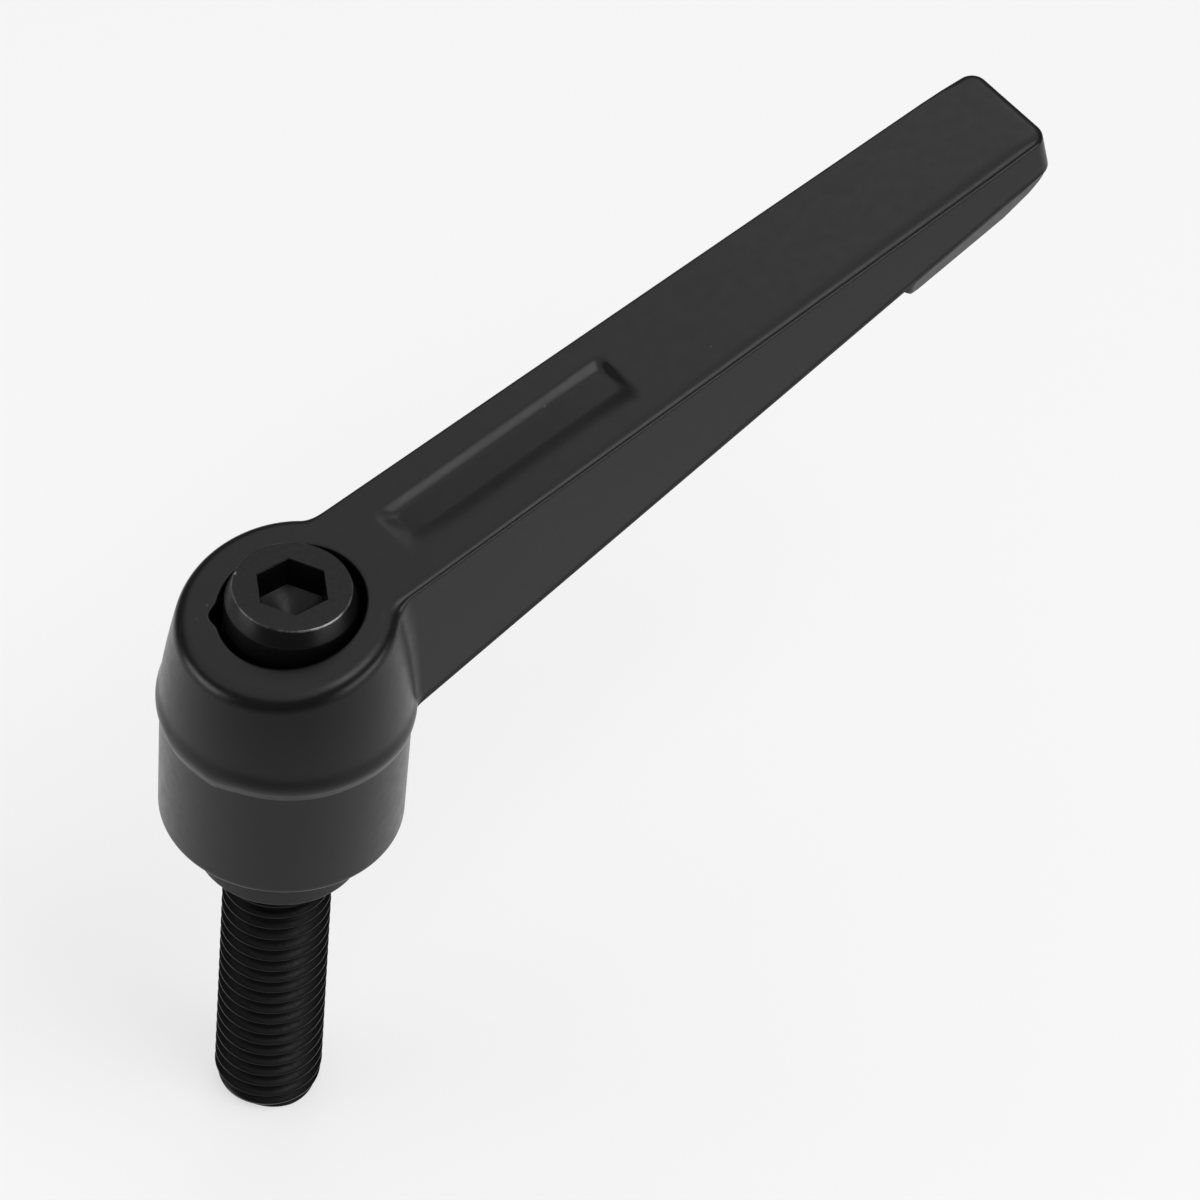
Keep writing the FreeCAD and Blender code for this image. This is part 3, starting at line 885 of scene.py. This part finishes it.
def wornRim(nodes, links, place):
    parts = nodes.new("ShaderNodeSeparateXYZ")
    links.new(place, parts.inputs[0])
    flat = nodes.new("ShaderNodeCombineXYZ")
    links.new(parts.outputs["X"], flat.inputs["X"])
    links.new(parts.outputs["Y"], flat.inputs["Y"])
    radius = nodes.new("ShaderNodeVectorMath")
    radius.operation = "LENGTH"
    links.new(flat.outputs["Vector"], radius.inputs[0])
    off = mathNode(nodes, links, "SUBTRACT", radius.outputs["Value"], worn["rimR"] * mm)
    off = mathNode(nodes, links, "ABSOLUTE", off)
    line = ramp(nodes, links, off, worn["rimHalf"] * worn["fullShare"] * mm, worn["rimHalf"] * mm, 1.0, 0.0)
    lowZ, highZ = (screw["topZ"] - under for under in worn["under"])
    high = ramp(nodes, links, parts.outputs["Z"], lowZ * mm, highZ * mm, 0.0, 1.0)
    facing = None
    for deg, start, most in worn["sides"]:
        toward = nodes.new("ShaderNodeVectorMath")
        toward.operation = "DOT_PRODUCT"
        links.new(flat.outputs["Vector"], toward.inputs[0])
        toward.inputs[1].default_value = (math.cos(math.radians(deg)), math.sin(math.radians(deg)), 0)
        share = mathNode(nodes, links, "DIVIDE", toward.outputs["Value"], worn["rimR"] * mm)
        share = ramp(nodes, links, share, start, worn["sideEnd"], 0.0, most)
        facing = share if facing is None else mathNode(nodes, links, "MAXIMUM", facing, share)
    facing = mathNode(nodes, links, "MAXIMUM", facing, worn["least"])
    patches = noise(nodes, links, place, worn["patchScale"], detail=3.0, roughness=0.6)
    patches = ramp(nodes, links, patches, *worn["patches"])
    rim = mathNode(nodes, links, "MULTIPLY", mathNode(nodes, links, "MULTIPLY", line, high),
                   mathNode(nodes, links, "MULTIPLY", facing, patches))
    inner, outer = worn["nickR"]
    nick = distanceTo(nodes, links, place, worn["nick"])
    nick = ramp(nodes, links, nick, inner * mm, outer * mm, worn["nickShare"], 0.0)
    return mathNode(nodes, links, "MAXIMUM", rim, nick), worn["steel"], True


# painted sheen: the turned collar above the thread is given a little paler base colour, standing in for its
# shinier reflection
paintedSheen = {"lowZ": -0.2, "highZ": 0.1, "colour": (0.022, 0.022, 0.0225)}


def collarPaintedSheen(nodes, links, place):
    parts = nodes.new("ShaderNodeSeparateXYZ")
    links.new(place, parts.inputs[0])
    # painted sheen: the base colour turns paler from lowZ up, in place of the collar's stronger reflection
    share = ramp(nodes, links, parts.outputs["Z"], paintedSheen["lowZ"] * mm, paintedSheen["highZ"] * mm, 0.0, 1.0)
    return share, paintedSheen["colour"], False


oxide = {"cloudScale": 400, "fineScale": 2500, "grainScale": 2200, "grainDepth": 0.006, "grainShare": 0.4}
headLook = {"dark": (0.002, 0.002, 0.0021), "light": (0.0035, 0.0035, 0.0036), "roughness": (0.3, 0.4),
            "specular": 0.17}
studLook = {"dark": (0.0012, 0.0012, 0.0013), "light": (0.0025, 0.0025, 0.0026), "roughness": (0.28, 0.4),
            "specular": 0.13}


def blackOxide(name, look, mark):  # a mark gives its share, its colour and whether it is bare metal
    finish, nodes, links, shader = newFinish(name)
    place = nodes.new("ShaderNodeTexCoord").outputs["Object"]
    cloud = noise(nodes, links, place, oxide["cloudScale"], detail=4.0, roughness=0.6)
    black = mixColour(nodes, links, cloud, look["dark"], look["light"])
    share, colour, metallic = mark(nodes, links, place)
    links.new(mixColour(nodes, links, share, black, colour), shader.inputs["Base Color"])
    if metallic:
        links.new(share, shader.inputs["Metallic"])
    fine = noise(nodes, links, place, oxide["fineScale"], detail=3.0, roughness=0.6)
    links.new(ramp(nodes, links, fine, *noiseSpan, *look["roughness"]), shader.inputs["Roughness"])
    grain = noise(nodes, links, place, oxide["grainScale"], detail=3.0)
    links.new(bump(nodes, links, grain, oxide["grainDepth"], oxide["grainShare"]), shader.inputs["Normal"])
    shader.inputs["Specular IOR Level"].default_value = look["specular"]
    return finish


wire = {"dark": (0.03, 0.03, 0.031), "light": (0.09, 0.09, 0.092), "cloudScale": 900, "roughness": (0.3, 0.5)}


def springWire():
    finish, nodes, links, shader = newFinish("drawnSpringWire")
    place = nodes.new("ShaderNodeTexCoord").outputs["Object"]
    cloud = noise(nodes, links, place, wire["cloudScale"], detail=3.0)
    links.new(mixColour(nodes, links, cloud, wire["dark"], wire["light"]), shader.inputs["Base Color"])
    links.new(ramp(nodes, links, cloud, *noiseSpan, *wire["roughness"]), shader.inputs["Roughness"])
    shader.inputs["Metallic"].default_value = 1.0
    return finish


# pieces onto their bodies

def dress(piece, finish, body, node):
    piece.data.materials.clear()
    piece.data.materials.append(finish)
    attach(piece, body)
    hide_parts(node)


leverPiece = makeLever()
leverPiece.name = "lever_casting"
dress(leverPiece, powderCoat(), "handle", "lever")
screwPiece = makeScrew()
dress(screwPiece, blackOxide("blackOxideHead", headLook, wornRim), "stud", "retaining_screw")
print("screw done")
insertPiece = makeInsert()
dress(insertPiece, blackOxide("blackOxideStud", studLook, collarPaintedSheen), "stud", "threaded_insert")
print("insert done")
springPiece = makeSpring()
dress(springPiece, springWire(), "spring", "spring")
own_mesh(springPiece)
print("spring done")


# floor, light and camera

studio = {"floorZ": -33.0, "floorSize": 6000, "floorColour": 0.86, "floorRoughness": 0.9,
          "floorSpecular": 0.1, "whiteShare": 0.6, "glossyShare": 0.73, "farR": (100, 340),
          "centre": (40, 44, 0), "dim": 0.12, "world": 0.17, "mirrored": 0.04}


def directRay(nodes, links, path):
    return mathNode(nodes, links, "MAXIMUM", path.outputs["Is Camera Ray"], path.outputs["Is Transmission Ray"])


# white to the camera with the object's shadow; in reflections it is white round the object and dims away
def makeFloor():
    nothingSelected()
    bpy.ops.mesh.primitive_plane_add(size=studio["floorSize"] * mm, location=(0, 0, studio["floorZ"] * mm))
    floor = bpy.context.object
    floor.name = "floor"
    finish, nodes, links, shader = newFinish("palePaper")
    shader.inputs["Base Color"].default_value = (studio["floorColour"],) * 3 + (1,)
    shader.inputs["Roughness"].default_value = studio["floorRoughness"]
    shader.inputs["Specular IOR Level"].default_value = studio["floorSpecular"]
    path = nodes.new("ShaderNodeLightPath")
    place = nodes.new("ShaderNodeTexCoord").outputs["Object"]
    away = distanceTo(nodes, links, place, studio["centre"])
    near, far = studio["farR"]
    lit = ramp(nodes, links, away, near * mm, far * mm, 1.0, 0.0)
    direct = directRay(nodes, links, path)
    seen = mathNode(nodes, links, "MULTIPLY", direct, studio["whiteShare"])
    share = ramp(nodes, links, lit, 0.0, 1.0, 1.0, studio["glossyShare"])
    reflected = mathNode(nodes, links, "MULTIPLY", path.outputs["Is Glossy Ray"], share)
    glow = nodes.new("ShaderNodeEmission")
    bright = mathNode(nodes, links, "MAXIMUM", direct, ramp(nodes, links, lit, 0.0, 1.0, studio["dim"], 1.0))
    links.new(bright, glow.inputs["Strength"])
    mixed = nodes.new("ShaderNodeMixShader")
    links.new(mathNode(nodes, links, "ADD", reflected, seen), mixed.inputs["Fac"])
    links.new(shader.outputs["BSDF"], mixed.inputs[1])
    links.new(glow.outputs["Emission"], mixed.inputs[2])
    links.new(mixed.outputs["Shader"], nodes["Material Output"].inputs["Surface"])
    floor.data.materials.append(finish)


def makeWorld():
    world = bpy.data.worlds.new("studio")
    bpy.context.scene.world = world
    world.use_nodes = True
    nodes, links = world.node_tree.nodes, world.node_tree.links
    background = nodes["Background"]
    background.inputs["Strength"].default_value = 1.0
    path = nodes.new("ShaderNodeLightPath")
    direct = directRay(nodes, links, path)
    mirrored = mathNode(nodes, links, "MULTIPLY", path.outputs["Is Glossy Ray"], studio["mirrored"])
    white = mathNode(nodes, links, "MAXIMUM", direct, mirrored)
    links.new(mixColour(nodes, links, white, (studio["world"],) * 3, (1, 1, 1)), background.inputs["Color"])


# soft boxes and reflector panels, as (place, aim, size, watts)
lamps = {"overhead": ((30, 0, 730), (30, 0, 30), (1400, 1400), 6.0),
         "overheadNear": ((85, -310, 650), (30, 0, 30), (340, 340), 1.2),
         "overheadFar": ((360, 420, 680), (50, 0, 40), (340, 340), 0.34),
         "rightPanel": ((165, -343, 38), (0, 0, 10), (330, 130), 0.48),
         "leftPanel": ((-344, 161, 38), (0, 0, 10), (260, 130), 0.49)}


def makeLamps():
    for name, (place, aim, size, watts) in lamps.items():
        data = bpy.data.lights.new(name, "AREA")
        data.shape = "RECTANGLE"
        data.size, data.size_y = size[0] * mm, size[1] * mm
        data.energy = watts
        lamp = bpy.data.objects.new(name, data)
        bpy.context.scene.collection.objects.link(lamp)
        lamp.location = Vector(place) * mm
        lamp.rotation_euler = (Vector(aim) - Vector(place)).to_track_quat("-Z", "Y").to_euler()
        lamp.visible_camera = False


# the camera, fitted to the stud, the hexagon and the round edges
lens = {"aim": (20.10, -17.99, 35.67), "back": (-0.4589, -0.5038, 0.7319), "distance": 700.24, "roll": 5.277,
        "focal": 240, "sensor": 36, "clip": (0.01, 20)}


def makeCamera():
    data = bpy.data.cameras.new("camera")
    data.lens, data.sensor_width = lens["focal"], lens["sensor"]
    data.clip_start, data.clip_end = lens["clip"]
    camera = bpy.data.objects.new("camera", data)
    bpy.context.scene.collection.objects.link(camera)
    back = Vector(lens["back"]).normalized()
    right = Vector((0, 0, 1)).cross(back).normalized()
    up = back.cross(right)
    roll = math.radians(lens["roll"])
    across = right * math.cos(roll) + up * math.sin(roll)
    upward = up * math.cos(roll) - right * math.sin(roll)
    camera.matrix_world = Matrix((across, upward, back)).transposed().to_4x4()
    camera.location = (Vector(lens["aim"]) + back * lens["distance"]) * mm
    bpy.context.scene.camera = camera


makeFloor()
makeWorld()
makeLamps()
makeCamera()
bpy.context.scene.view_settings.view_transform = "Standard"
print("studio done")
